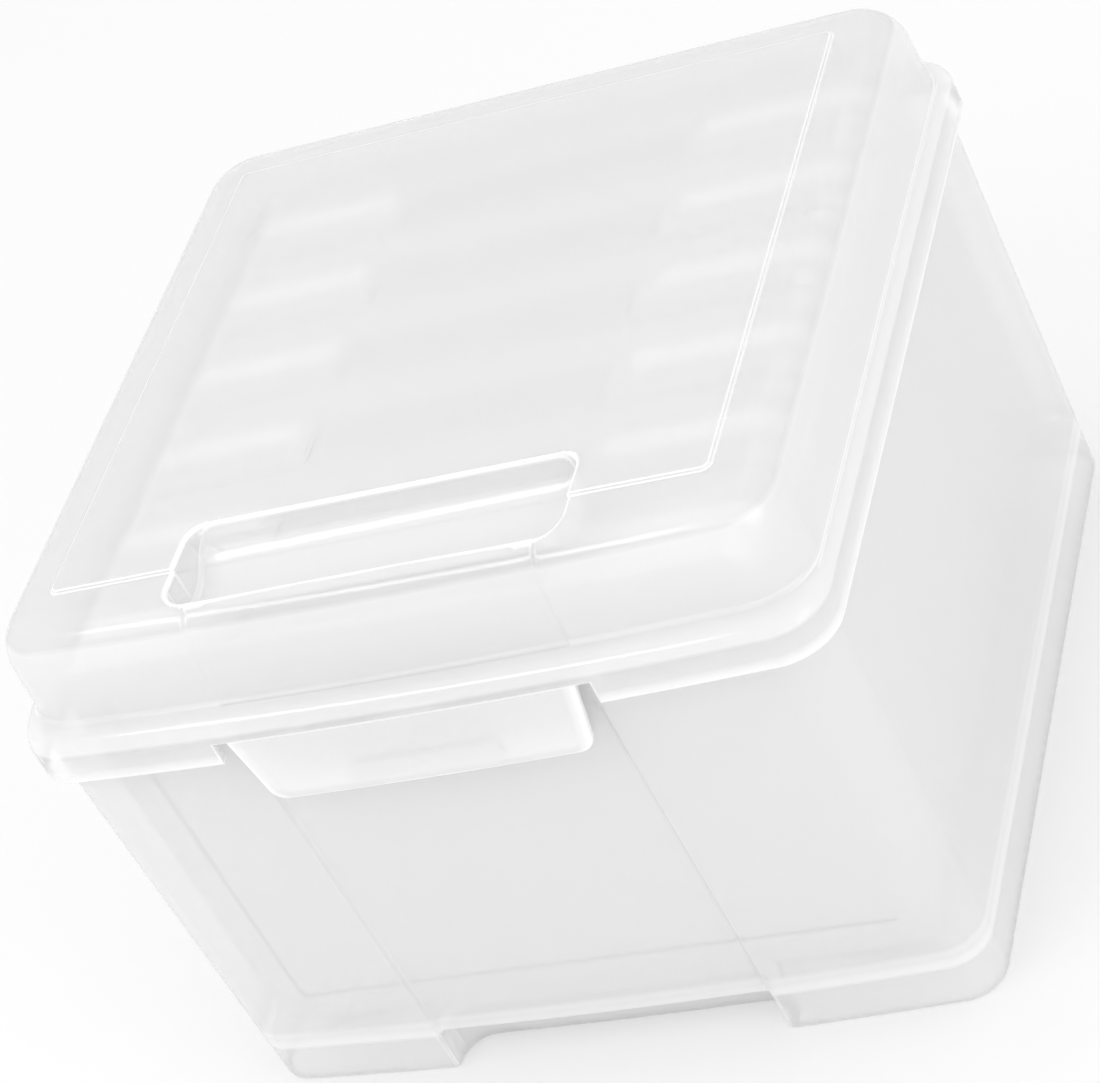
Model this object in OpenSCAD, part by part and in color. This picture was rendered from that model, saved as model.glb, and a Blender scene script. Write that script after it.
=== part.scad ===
// Photo keeper case: a lidded box that holds six flat photo cases on edge.
// Lengths in millimetres. X is to the right, Y to the back, Z up. The box stands on Z = 0.

/* [Photographs] */
// Length of the photographs that the inner cases hold
photo_l = 152; // [148:1:156]
// Height of the photographs, which stand on their long edge
photo_h = 102; // [99:1:105]
// Room beyond each end of the photographs
photo_room_l = 6.6; // [3:0.1:8]
// Room above and below the photographs together
photo_room_h = 12.2; // [8:0.1:14]

/* [Inner cases] */
// Thickness of an inner case
case_t = 28.3; // [27:0.1:30]
// Gap between neighbouring cases
case_gap = 0.6; // [0.4:0.1:0.8]
// Wall thickness of an inner case
case_wall = 1.4; // [1.2:0.1:1.6]
// Corner radius of an inner case
case_corner_r = 6; // [4:0.5:8]
// Depth of the cover, the front part of an inner case
cover_depth = 10.3; // [9:0.1:12]
// Half width of the inner latch tongue
case_tongue_half = 37; // [30:1:42]
// How far that tongue's shelf reaches behind the middle of the case
shelf_back = 1.2; // [0:0.1:4]
// Radius of the pins on which the cover turns
cover_pin_r = 1.5; // [1.2:0.1:1.8]

/* [Box] */
// Wall thickness of the tub and the lid
wall = 1.8; // [1.5:0.1:2]
// Room between the ends of the cases and the tub, at the rim
end_room = 8.3; // [6:0.1:12]
// Room in front of and behind the row of cases, at the rim
row_room = 6.9; // [5.5:0.1:10]
// How far the cases stand above the rim of the tub
case_show = 10.9; // [8:0.1:14]
// Room between the top of the cases and the lid
head_room = 12.9; // [11:0.1:15]
// Half the angle of the arc through which the front bows outward
bow_angle = 3.5; // [1:0.5:5]
// Outside corner radius of the tub at its foot
tub_corner_r = 9.5; // [7:0.5:11]
// Gap between the rim and the inside of the lid's flange, at the sides
rim_gap_side = 1.1; // [0.8:0.1:1.6]
// The same gap at the front and the back
rim_gap_end = 2.1; // [1.6:0.1:2.6]
// How much nearer to the middle each side wall stands at the foot than at the rim
draft_side = 1.5; // [0.5:0.1:3]
// The same for the front and back walls
draft_end = 2.8; // [1.5:0.1:3.5]
// Top of the tub's floor
floor_z = 14.5; // [12:0.5:16]
// Thickness of the tub's floor
floor_t = 2; // [1.5:0.1:3]
// Radius between the floor and the walls, inside
floor_r = 3; // [2:0.5:4]
// Radius along the lower edge of the foot
foot_r = 1.5; // [1:0.1:1.5]

/* [Front of the tub] */
// Half width of the middle panel of the front, which is set back, and of the latch tongue above it
panel_half = 42; // [36:1:46]
// How far the middle panel is set back
panel_inset = 1.6; // [0.8:0.1:2.4]
// How far the foot steps back under the middle of the front
toe_depth = 8.4; // [6:0.2:10]
// Corner radius of that step, seen from above
toe_r = 8; // [5:0.5:8]
// How much higher the top of that step is at the front than at its back
toe_rise = 0.6; // [0.3:0.1:1]

/* [Lid] */
// How far the flange reaches down outside the tub's rim
flange_drop = 9.9; // [8:0.1:11]
// Corner radius of the flange
flange_corner_r = 13; // [12:0.5:16]
// How far the dome stands in from the flange, at the sides
ledge_side = 2.1; // [1.6:0.1:3]
// The same at the front and the back
ledge_end = 6.5; // [5:0.1:8]
// Height of the curved shoulder between flange and dome
shoulder_h = 5.5; // [4:0.5:6.5]
// Corner radius of the dome
dome_corner_r = 14; // [13:0.5:17]
// Radius along the dome's top edge
dome_edge_r = 10; // [8:0.5:11]
// How much narrower each side of the dome is at the top than at its foot
dome_draft = 0.9; // [0.5:0.1:1.5]
// How far the middle of the dome's front is set back
front_relief = 0.5; // [0:0.1:0.8]
// Border round the raised top panel, out to the dome's walls, at the sides
border_side = 14.4; // [12:0.1:20]
// The same at the front and the back
border_end = 15.3; // [12:0.1:20]
// Corner radius of the raised top panel
top_panel_r = 2; // [1:0.5:6]
// Height of the raised top panel
top_panel_h = 0.8; // [0.4:0.1:1.2]

/* [Finger scoop] */
// Half length of the scoop
scoop_half = 47.5; // [40:0.5:55]
// Radius of the scoop's hollow
scoop_r = 14; // [13:0.5:16]
// Gap between the scoop and the cases below it
scoop_gap = 3.6; // [3:0.1:6]
// Distance of the scoop's back edge behind the front of the lid's flange
scoop_back = 39; // [37:0.5:42]
// Distance of the scoop's front behind the front of the lid's flange
scoop_front = 15.1; // [14.5:0.1:17]
// Corner radius of the scoop, seen from above
scoop_corner_r = 5; // [3:0.5:8]

/* [Latch] */
// How much narrower each side of the tongue is at its lower edge
tongue_taper = 2.6; // [1:0.1:4]
// How far the tongue hangs below the flange
tongue_drop = 12.2; // [10:0.1:14]
// Radius of the tongue's lower corners
tongue_corner_r = 4; // [2:0.5:6]
// Width of the slit at each side of the tongue
slit_w = 3.4; // [2:0.1:4]
// Half width of the catch
catch_half = 16; // [12:0.5:20]
// How far the catch is below the lower edge of the flange
catch_drop = 5.8; // [5:0.1:6.5]
// How far the two halves of the catch overlap
catch_bite = 1.2; // [0.8:0.1:1.4]

/* [Hinge] */
// Distance of each hinge from the middle of the box
hinge_x = 52; // [44:1:60]
// Length of the lid's knuckle
knuckle_len = 16; // [12:1:20]
// Radius of the lid's knuckle
knuckle_r = 4; // [3.6:0.1:4.2]
// Thickness of the lugs on the tub, one at each side of a knuckle
lug_t = 4; // [3:0.5:6]
// Radius of the pin moulded on the tub
pin_r = 2.2; // [2:0.1:2.4]
// Radial clearance between pin and knuckle
pin_clearance = 0.06; // [0.03:0.01:0.1]
// How far the lid opens
lid_open_angle = 110; // [95:1:115]

/* [Hidden] */
$fn = 64;

case_count = 6;
eps = 0.01;
past = 20;                      // how far a cutter runs past what it cuts
corner_steps = 7;
bow_steps = 2;
ramp_steps = 6;
round_steps = 6;
foot_steps = 3;
tub_colour = [0.90, 0.92, 0.92, 0.6];
lid_colour = [0.92, 0.93, 0.93, 0.5];
case_colour = [0.86, 0.89, 0.90, 0.6];

// Fits
rim_over = 0.3;                 // between the top of the rim and the lid's ledge
catch_fit = 0.2;                // between the two halves of the catch
nose_fit = 0.6;                 // between the nose of the tub and the tongue
root_fit = 0.05;                // round the bead at a tongue's root, radially
root_gap = 0.4;                 // between the lid and the upper edge of its tongue
lug_gap = 0.5;                  // between a knuckle and the lugs beside it
hinge_low = 0.7;                // between the top of a knuckle and the lower edge of the flange
hinge_out = 0.9;                // between a knuckle and the back wall of the tub
stop_gap = 0.12;                // between the tub and the heel of the open lid's knuckle
lip_fit = 0.15;                 // between the cover's lip and the tray, all round
shelf_fit = 0.15;               // between the inner tongue and its shelf
shelf_side = 0.5;               // between the inner tongue and the ends of its shelf

// The inner cases, and the row that they stand in
case_l = photo_l + 2 * (photo_room_l + case_wall);
case_h = photo_h + photo_room_h + 2 * case_wall;
row_pitch = case_t + case_gap;
row_depth = case_count * row_pitch - case_gap;
case_top_z = floor_z + case_h;

// The box that goes round them
rim_z = case_top_z - case_show;
border_z = case_top_z + head_room + wall;
rim_half = [case_l / 2 + end_room, row_depth / 2 + row_room] + [wall, wall];
flange_half = rim_half + [rim_gap_side, rim_gap_end] + [wall, wall];
rim_corner_r = tub_corner_r + 2;
scoop_depth = head_room - scoop_gap;
tongue_half = panel_half;
draft = [draft_side, draft_end];
ledge = [ledge_side, ledge_end];
under_floor = floor_z - floor_t;
shoulder_z = rim_z + wall + rim_over;
flange_z = rim_z - flange_drop;
panel_top_z = flange_z - 2;
rim_band_z = flange_z + 1;
dome_half = flange_half - ledge;
edge_z = border_z - dome_edge_r;
hinge_z = flange_z - knuckle_r - hinge_low;
hinge_y = tub_half(hinge_z)[1] + knuckle_r + hinge_out;
front_y = front_of(flange_half, flange_corner_r);
// The box is centred on Y = 0 over everything, front bow and hinges included
shift_y = (front_y - hinge_y - knuckle_r) / 2;

// Half width and half depth of the tub's outside at height z
function tub_half(z) = rim_half - draft * (1 - z / rim_z);
function tub_r(z) = tub_corner_r + (rim_corner_r - tub_corner_r) * z / rim_z;

// Radius of the front's arc, and how far its middle stands forward of Y = 0
function bow_r(half, r) = (half[0] - r + r * sin(bow_angle)) / sin(bow_angle);
function front_of(half, r) = half[1] - r + r * cos(bow_angle) + bow_r(half, r) * (1 - cos(bow_angle));
// How much nearer to Y = 0 the front is at a distance x from the middle
function bow_sag(half, r, x) = bow_r(half, r) - sqrt(bow_r(half, r) * bow_r(half, r) - x * x);

// Share of the set-back at a distance x from the middle: none outside the panel, all of it inside,
// with a soft ramp between them
ramp = 5;
function panel_share(x) = let (s = max(0, min(1, (panel_half + ramp / 2 - x) / ramp))) s * s * (3 - 2 * s);

// Share of the toe space's depth there: a quarter round at each end
function toe_share(x) = let (s = max(0, min(1, (panel_half - x) / toe_r))) sqrt(1 - (1 - s) * (1 - s));

function arc(centre, r, from, to, steps) =
    [for (i = [0 : steps]) let (a = from + (to - from) * i / steps) centre + r * [cos(a), sin(a)]];

// Places along the bowed front, from its left end to its right: close together where the set-back
// begins, which stands wide further out on an inner face
front_steps = [for (i = [0 : ramp_steps]) panel_half + ramp / 2 - (ramp / 2 + toe_r) * i / ramp_steps];
function front_xs(reach, wide) =
    let (near = [for (x = front_steps) x + wide], low = near[ramp_steps], high = near[0])
    let (right = concat(
        [for (i = [1 : bow_steps]) low * i / (bow_steps + 1)],
        [for (i = [ramp_steps : -1 : 0]) near[i]],
        [for (i = [1 : bow_steps]) high + (reach - high) * i / (bow_steps + 1)]))
    concat([for (i = [len(right) - 1 : -1 : 0]) -right[i]], [0], right);

// Rounded rectangle whose front bows outward. Its middle is set back by inset, and by toe more
function outline(half, r, inset, toe, wide) =
    let (c = half - [r, r], big = bow_r(half, r), y0 = big - front_of(half, r))
    concat(
        arc([c[0], c[1]], r, 0, 90, corner_steps),
        arc([-c[0], c[1]], r, 90, 180, corner_steps),
        arc([-c[0], -c[1]], r, 180, 270 - bow_angle, corner_steps),
        [for (x = front_xs(c[0] + r * sin(bow_angle), wide))
            let (edge = abs(x) - wide, back = inset * panel_share(edge) + toe * toe_share(edge))
            [x, y0 - sqrt(big * big - x * x) + back]],
        arc([c[0], -c[1]], r, 270 + bow_angle, 360, corner_steps));

// One level of a loft: height, half sizes, corner radius, set-back of the front panel and of the toe
function level(z, half, r, inset = 0, toe = 0, wide = 0) =
    [for (p = outline(half, r, inset, toe, wide)) [p[0], p[1], z]];

// Skin through a stack of levels, closed at both ends by triangles round a middle point
module loft(levels) {
    n = len(levels[0]);
    last = len(levels) - 1;
    low_mid = (last + 1) * n;
    top_mid = low_mid + 1;
    polyhedron(
        points = concat([for (l = levels) each l], [[0, 0, levels[0][0][2]], [0, 0, levels[last][0][2]]]),
        faces = concat(
            [for (j = [0 : n - 1]) let (k = (j + 1) % n)
                each [[low_mid, j, k], [top_mid, last * n + k, last * n + j]]],
            [for (i = [0 : last - 1], j = [0 : n - 1]) let (k = (j + 1) % n, low = i * n, high = low + n)
                each [[low + j, high + j, high + k], [low + j, high + k, low + k]]]));
}

// Flat rounded rectangle, corners kept as true arcs
module rounded(size, r) {
    square([size[0] - 2 * r, size[1]], center = true);
    square([size[0], size[1] - 2 * r], center = true);
    for (x = [-1, 1], y = [-1, 1])
        translate([x * (size[0] / 2 - r), y * (size[1] / 2 - r)])
            circle(r);
}

// Rod along X, centred
module rod(r, length) {
    rotate([0, 90, 0])
        cylinder(r = r, h = length, center = true);
}

// Box between two corners
module block(low, high) {
    translate(low)
        cube(high - low);
}

module in_frame() {
    translate([0, shift_y, 0])
        children();
}

// Tub

function tub_level(z, in = 0, inset = 0, toe = 0) =
    level(z, tub_half(z) - [in, in], max(tub_r(z) - in, 1), inset, toe, in);

// A level of a wall above the floor, set back in the middle, and plain in the band behind the flange
wall_zs = [panel_top_z, rim_band_z, rim_z];
function wall_level(z, in) = tub_level(z, in, z > panel_top_z ? 0 : panel_inset);

// A level of the rounding where a wall meets a foot or floor at z, turned by the angle a
function foot_level(a, z, r, in, toe) =
    tub_level(z + r * (1 - cos(a)), in + r * (1 - sin(a)), panel_inset, toe);

foot_wall = wall + 0.4;

// One skin from the hollow under the floor, round the foot, up the outside, over the rim and down inside
module tub_shell() {
    loft(concat(
        [tub_level(under_floor, wall, panel_inset, toe_depth),
         tub_level(0, foot_wall, panel_inset, toe_depth)],
        [for (i = [0 : foot_steps]) foot_level(90 * i / foot_steps, 0, foot_r, 0, toe_depth)],
        [tub_level(under_floor - toe_rise, 0, panel_inset, toe_depth),
         tub_level(under_floor, 0, panel_inset)],
        [for (z = wall_zs) wall_level(z, 0)],
        [for (i = [len(wall_zs) - 1 : -1 : 0]) wall_level(wall_zs[i], wall)],
        [for (i = [foot_steps : -1 : 0]) foot_level(90 * i / foot_steps, floor_z, floor_r, wall, 0)]));
}

// Lug: a round eye joined to the tub's back wall
lug_eye_r = knuckle_r - 0.4;
lug_root_y = tub_half(hinge_z)[1] - wall / 2;
lug_root_drop = 2.2 * lug_eye_r;

module lug_section() {
    translate([hinge_y, hinge_z])
        circle(lug_eye_r);
    polygon([[hinge_y, hinge_z + lug_eye_r], [hinge_y, hinge_z - lug_eye_r],
        [lug_root_y, hinge_z - lug_root_drop], [lug_root_y, hinge_z + lug_eye_r]]);
}

// A section drawn in Y and Z, given a length along X and centred on it
module along_x(length) {
    translate([-length / 2, 0, 0])
        rotate([90, 0, 90])
            linear_extrude(length)
                children();
}

module tub_hinge() {
    lug_x = knuckle_len / 2 + lug_gap + lug_t / 2;
    for (side = [-1, 1])
        translate([side * lug_x, 0, 0])
            along_x(lug_t)
                lug_section();
    translate([0, hinge_y, hinge_z])
        rod(pin_r, 2 * lug_x);
}

// Catch: a nose on the tub, flat below and sloping above, with a rib of the tongue caught under it
catch_z = flange_z - catch_drop;
nose_tip_h = 1.1;
nose_root_h = 4.7;
nose_front = front_y - wall - nose_fit;
nose_root = front_of(tub_half(catch_z), tub_r(catch_z)) - panel_inset - wall / 2;

module catch_nose() {
    along_x(2 * catch_half)
        polygon([[-nose_root, catch_z], [-nose_front, catch_z],
            [-nose_front, catch_z + nose_tip_h], [-nose_root, catch_z + nose_root_h]]);
}

module base_tub() {
    color(tub_colour)
        in_frame() {
            tub_shell();
            catch_nose();
            for (side = [-1, 1])
                translate([side * hinge_x, 0, 0])
                    tub_hinge();
        }
}

// Lid

function shoulder_level(a) =
    let (out = 1 - cos(a))
    level(shoulder_z - shoulder_h + shoulder_h * sin(a), flange_half - ledge * out,
        flange_corner_r + (dome_corner_r - flange_corner_r) * out);

function dome_half_at(z) = dome_half - [1, 1] * dome_draft * (z - shoulder_z) / (border_z - shoulder_z);

function dome_level(z, in, wide) =
    level(z, dome_half_at(z) - [in, in], max(dome_corner_r - in, 1.5), front_relief, 0, wide);

// The dome's rounded edge, from its wall to its flat top
function dome_edge(in) =
    [for (i = [0 : round_steps]) let (a = 90 * i / round_steps, r = dome_edge_r - in)
        dome_level(edge_z + r * sin(a), in + r * (1 - cos(a)), in)];

flange_lip = 0.6;
step_h = 0.2;                   // a level step rises by this much, as it leaves the mould better so

module lid_outside() {
    loft(concat(
        [level(flange_z, flange_half - [flange_lip, flange_lip], flange_corner_r - flange_lip),
         level(flange_z + flange_lip, flange_half, flange_corner_r)],
        [for (i = [0 : round_steps]) shoulder_level(90 * i / round_steps)],
        [dome_level(shoulder_z + step_h, 0, 0)],
        dome_edge(0)));
}

module lid_inside() {
    loft(concat(
        [level(flange_z - past, flange_half - [wall, wall], flange_corner_r - wall),
         level(rim_z + rim_over, flange_half - [wall, wall], flange_corner_r - wall),
         dome_level(rim_z + rim_over + step_h, wall, wall)],
        dome_edge(wall)));
}

// The top panel is raised all through, so it is hollow beneath
module top_panel_step(in, drop) {
    translate([0, 0, border_z - drop - eps])
        linear_extrude(top_panel_h + eps)
            rounded(2 * (dome_half_at(border_z) - [border_side + in, border_end + in]), top_panel_r);
}

// The scoop is a round trough across the front of the top, with a plain wall along its front
scoop_front_y = scoop_front - front_y;
scoop_back_y = scoop_back - front_y;
scoop_z = border_z + scoop_r - scoop_depth;
scoop_chord = sqrt(scoop_r * scoop_r - (scoop_r - scoop_depth) * (scoop_r - scoop_depth));

module scoop(grow) {
    plan = 2 * [scoop_half + grow, (scoop_back - scoop_front) / 2 + grow];
    intersection() {
        translate([0, scoop_back_y - scoop_chord, scoop_z])
            rod(scoop_r + grow, plan[0] + 2 * past);
        translate([0, (scoop_back_y + scoop_front_y) / 2, border_z - scoop_r])
            linear_extrude(2 * scoop_r)
                rounded(plan, scoop_corner_r + grow);
    }
}

// Root of the latch tongue: a bead in a groove, along the line about which the tongue bends
root_r = 0.5;
root_low = 0.3;                 // how far its middle is below the shoulder
root_z = shoulder_z - shoulder_h - root_low;
root_y = (wall + bow_sag(flange_half, flange_corner_r, tongue_half)) / 2 - front_y;
window_in = 2 * wall + 3;       // the window's cutter runs this far in from the front of the flange

module tongue_window() {
    half = tongue_half + slit_w;
    block([-half, -front_y - past, flange_z - past], [half, -front_y + window_in, root_z]);
    translate([0, root_y, root_z])
        rod(root_r + root_fit, 2 * half);
}

// Knuckle with its arm up to the flange, and a heel that stops the lid when it is open
arm_y = flange_half[1] - wall;
arm_t = 4.2;
arm_foot_z = hinge_z + 1.5;
arm_bend_z = flange_z + 0.5;
arm_top_z = flange_z + 5;
heel_t = 1.6;
heel_reach = hinge_y - tub_half(hinge_z)[1] - stop_gap;

module knuckle_section() {
    translate([hinge_y, hinge_z]) {
        circle(knuckle_r);
        rotate(180 + lid_open_angle)
            translate([0, -heel_t / 2])
                square([heel_reach, heel_t]);
    }
    polygon([[arm_y, arm_foot_z], [arm_y + arm_t, arm_foot_z], [arm_y + arm_t, arm_bend_z],
        [arm_y + wall - eps, arm_top_z], [arm_y, arm_top_z]]);
}

module lid_knuckle() {
    difference() {
        along_x(knuckle_len)
            knuckle_section();
        translate([0, hinge_y, hinge_z])
            rod(pin_r + pin_clearance, knuckle_len + 1);
    }
}

module lid() {
    color(lid_colour)
        in_frame() {
            difference() {
                union() {
                    lid_outside();
                    top_panel_step(0, 0);
                }
                difference() {
                    union() {
                        lid_inside();
                        top_panel_step(wall, wall);
                    }
                    scoop(wall);
                }
                scoop(0);
                tongue_window();
            }
            for (side = [-1, 1])
                translate([side * hinge_x, 0, 0])
                    lid_knuckle();
        }
}

// Latch tongue

tongue_top_z = root_z - root_gap;
tongue_low_z = flange_z - tongue_drop;
neck_t = 1.6 * root_r;
root_end = 0.5;                 // the bead ends this far inside the tongue's sides

// Outline seen from the front, with rounded lower corners
module tongue_outline() {
    corner_x = tongue_half - tongue_taper - tongue_corner_r;
    hull() {
        for (side = [-1, 1])
            translate([side * corner_x, tongue_low_z + tongue_corner_r])
                circle(tongue_corner_r);
        translate([-tongue_half, tongue_top_z - eps])
            square([2 * tongue_half, eps]);
    }
}

// The flange's own wall, carried on below its lower edge
module flange_wall() {
    low = flange_z - past;
    difference() {
        loft([level(low, flange_half, flange_corner_r), level(shoulder_z, flange_half, flange_corner_r)]);
        loft([level(low - 1, flange_half - [wall, wall], flange_corner_r - wall),
            level(shoulder_z + 1, flange_half - [wall, wall], flange_corner_r - wall)]);
    }
}

// Rib that catches under the nose. It thins towards the tongue's lower edge and spreads there
rib_tip_t = 1.1;
rib_root_t = 4.5;
rib_spread = 2.5;

module catch_rib() {
    top = catch_z - catch_fit;
    back = catch_bite - nose_front;
    root = wall / 2 - front_y;
    half = catch_half + 1;
    low = top - rib_root_t - 1;
    intersection() {
        along_x(2 * (half + rib_spread))
            polygon([[root, top], [back, top], [back, top - rib_tip_t], [root, top - rib_root_t]]);
        rotate([90, 0, 0])
            linear_extrude(front_y)
                polygon([[-half, top + 1], [half, top + 1],
                    [half + rib_spread, low], [-half - rib_spread, low]]);
    }
}

module latch_tongue() {
    length = 2 * (tongue_half - root_end);
    color(lid_colour)
        in_frame() {
            intersection() {
                flange_wall();
                rotate([90, 0, 0])
                    linear_extrude(front_y + past)
                        tongue_outline();
            }
            translate([0, root_y, root_z])
                rod(root_r, length);
            block([-length / 2, root_y - neck_t / 2, tongue_top_z - neck_t],
                [length / 2, root_y + neck_t / 2, root_z]);
            catch_rib();
        }
}

// Inner cases. Each is drawn standing on Z = 0 with its middle on Y = 0, its cover to the front

part_y = -case_t / 2 + cover_depth;
function case_y(i) = (i - (case_count + 1) / 2) * row_pitch;

// The broad faces are sunk, so that the cases slide past each other on their rims
sunk = 0.5;
sunk_border = 8;
case_least_r = 2;

lip_t = 1;
lip_root = 3;
lip_reach = 2.2;

tongue_t = 1.4;
tongue_sink = 0.05;             // the inner tongue lies this far below the top of its case
shelf_drop = 2.3;
ridge_h = 0.7;
ridge_t = 1.7;
nub_in = 6;                     // ridge and nub end this far inside the tongue's sides
nub_gap = 0.3;
shelf_half = case_tongue_half + shelf_side;
case_root_y = -case_t / 2 + case_wall + 0.6;
case_root_z = case_h - tongue_sink - tongue_t / 2;

// Pins of the cover turn in the tray's end walls, near the lower edge
pin_y = part_y + 3.2;
pin_z = case_corner_r + 2.5;
ear_r = cover_pin_r + 1.6;
ear_t = 1.8;
pin_reach = 1.2;

// A section drawn in X and Z, standing between two values of Y
module slab(from, to) {
    translate([0, to, 0])
        rotate([90, 0, 0])
            linear_extrude(to - from)
                children();
}

module case_section(in) {
    translate([0, case_h / 2])
        rounded([case_l - 2 * in, case_h - 2 * in], max(case_corner_r - in, case_least_r));
}

module case_ring(from, to, outer, inner) {
    difference() {
        slab(from, to)
            case_section(outer);
        slab(from - 1, to + 1)
            case_section(inner);
    }
}

module case_tray() {
    difference() {
        slab(part_y, case_t / 2)
            case_section(0);
        // The inside, less what stays round the shelf
        difference() {
            slab(part_y - 1, case_t / 2 - case_wall)
                case_section(case_wall);
            block([-shelf_half - case_wall, part_y - 2, case_h - shelf_drop - case_wall],
                [shelf_half + case_wall, shelf_back + case_wall, case_h]);
        }
        // Shelf on which the tongue of the cover rests
        block([-shelf_half, part_y - 1, case_h - shelf_drop], [shelf_half, shelf_back, case_h + 1]);
        translate([0, pin_y, pin_z])
            rod(cover_pin_r + pin_clearance, case_l + 2);
        slab(case_t / 2 - sunk, case_t / 2 + 1)
            case_section(sunk_border);
    }
    // Ridge behind which the tongue's nub drops
    block([nub_in - case_tongue_half, part_y, case_h - shelf_drop - eps],
        [case_tongue_half - nub_in, part_y + ridge_t, case_h - shelf_drop + ridge_h]);
}

module case_cover() {
    difference() {
        slab(-case_t / 2, part_y)
            case_section(0);
        slab(-case_t / 2 + case_wall, part_y + 1)
            case_section(case_wall);
        block([-shelf_half, case_root_y, case_h - case_wall - 2], [shelf_half, part_y + 1, case_h + 1]);
        translate([0, case_root_y, case_root_z])
            rod(root_r + root_fit, 2 * shelf_half);
        slab(-case_t / 2 - 1, -case_t / 2 + sunk)
            case_section(sunk_border);
    }
    // Lip inside the tray's mouth, open where the tongue's shelf is
    difference() {
        union() {
            case_ring(part_y - lip_root, part_y, case_wall - eps, case_wall + lip_fit + lip_t);
            case_ring(part_y - eps, part_y + lip_reach, case_wall + lip_fit, case_wall + lip_fit + lip_t);
        }
        block([-shelf_half - case_wall - 1, part_y - lip_root - 1, case_h / 2],
            [shelf_half + case_wall + 1, part_y + lip_reach + 1, case_h + 1]);
    }
    for (side = [-1, 1])
        cover_ear(side);
}

module cover_ear(side) {
    inside = case_l / 2 - case_wall - lip_fit;
    translate([side * (inside - ear_t / 2), 0, 0])
        along_x(ear_t) {
            translate([pin_y, pin_z])
                circle(ear_r);
            polygon([[part_y - lip_root, pin_z - ear_r], [pin_y, pin_z - ear_r],
                [pin_y, pin_z + ear_r], [part_y - lip_root, pin_z + ear_r]]);
        }
    translate([side * (inside - ear_t / 2 + pin_reach / 2), pin_y, pin_z])
        rod(cover_pin_r, ear_t + pin_reach);
}

module case_latch() {
    tongue_top = case_h - tongue_sink;
    tongue_back = shelf_back - nub_gap;
    bead_half = case_tongue_half - root_end;
    nub_half = case_tongue_half - nub_in;
    block([-case_tongue_half, case_root_y + root_gap / 2, tongue_top - tongue_t],
        [case_tongue_half, tongue_back, tongue_top]);
    translate([0, case_root_y, case_root_z])
        rod(root_r, 2 * bead_half);
    block([-bead_half, case_root_y, case_root_z - root_r / 2],
        [bead_half, case_root_y + root_gap, case_root_z + root_r / 2]);
    block([-nub_half, part_y + ridge_t + nub_gap, case_h - shelf_drop + shelf_fit],
        [nub_half, tongue_back, tongue_top - tongue_t + eps]);
}

module at_case(i) {
    in_frame()
        translate([0, case_y(i), floor_z])
            color(case_colour)
                children();
}

base_tub();
lid();
latch_tongue();
for (i = [1 : case_count]) {
    at_case(i) case_tray();
    at_case(i) case_cover();
    at_case(i) case_latch();
}
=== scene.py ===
# %% [markdown]
# A translucent photo box, dressed for its photograph
#
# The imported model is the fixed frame: its pieces are in metres, and none of them is moved here. This script
# gives them the look of natural polypropylene, sets a camera where the photograph was taken from, and lights
# the box the way a small white studio would.

# %% Load the frame
import bmesh
import bpy
from math import asin, cos, hypot, pi, radians, sin, sqrt, tan
from mathutils import Matrix, Vector, geometry
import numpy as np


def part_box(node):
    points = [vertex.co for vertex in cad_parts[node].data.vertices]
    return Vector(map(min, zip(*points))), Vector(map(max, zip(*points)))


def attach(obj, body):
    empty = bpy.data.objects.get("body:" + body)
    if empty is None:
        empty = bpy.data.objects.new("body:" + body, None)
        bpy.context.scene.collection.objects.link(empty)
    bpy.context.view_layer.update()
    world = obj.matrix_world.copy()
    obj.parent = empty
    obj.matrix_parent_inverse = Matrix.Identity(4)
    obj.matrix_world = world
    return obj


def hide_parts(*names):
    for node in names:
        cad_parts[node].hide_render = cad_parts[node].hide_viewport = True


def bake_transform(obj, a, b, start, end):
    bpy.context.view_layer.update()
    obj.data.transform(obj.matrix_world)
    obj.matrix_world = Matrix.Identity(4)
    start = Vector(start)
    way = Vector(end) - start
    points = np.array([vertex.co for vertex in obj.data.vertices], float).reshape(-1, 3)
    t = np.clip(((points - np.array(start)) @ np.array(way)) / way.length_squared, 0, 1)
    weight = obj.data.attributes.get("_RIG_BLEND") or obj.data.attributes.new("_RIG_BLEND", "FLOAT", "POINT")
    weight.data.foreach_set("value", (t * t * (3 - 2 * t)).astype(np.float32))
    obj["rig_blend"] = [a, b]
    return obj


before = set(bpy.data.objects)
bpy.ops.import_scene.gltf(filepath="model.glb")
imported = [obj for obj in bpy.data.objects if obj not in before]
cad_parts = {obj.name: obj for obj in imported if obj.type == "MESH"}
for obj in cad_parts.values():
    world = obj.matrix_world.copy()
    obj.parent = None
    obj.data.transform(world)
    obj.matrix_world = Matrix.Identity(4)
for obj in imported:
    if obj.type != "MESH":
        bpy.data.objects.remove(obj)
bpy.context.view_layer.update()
print("pieces in the frame:", len(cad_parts))

# %% [markdown]
# The camera
#
# The photograph looks down on the box from the front and the right, with the camera rolled, so that the box
# seems to tip over. A long lens keeps its edges nearly parallel. The place comes from fitting the box's own
# corners, so it is given in millimetres from the middle of the box's foot.

# %% Camera
MM = 0.001
SENSOR_MM = 36.0
CAMERA_PLACE_MM = (362.1, -608.2, 556.1)
CAMERA_HEADING = -31.34  # degrees from +Y towards +X
CAMERA_PITCH = -34.09
CAMERA_ROLL = -29.37
CAMERA_LENS_MM = 118.9

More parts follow.
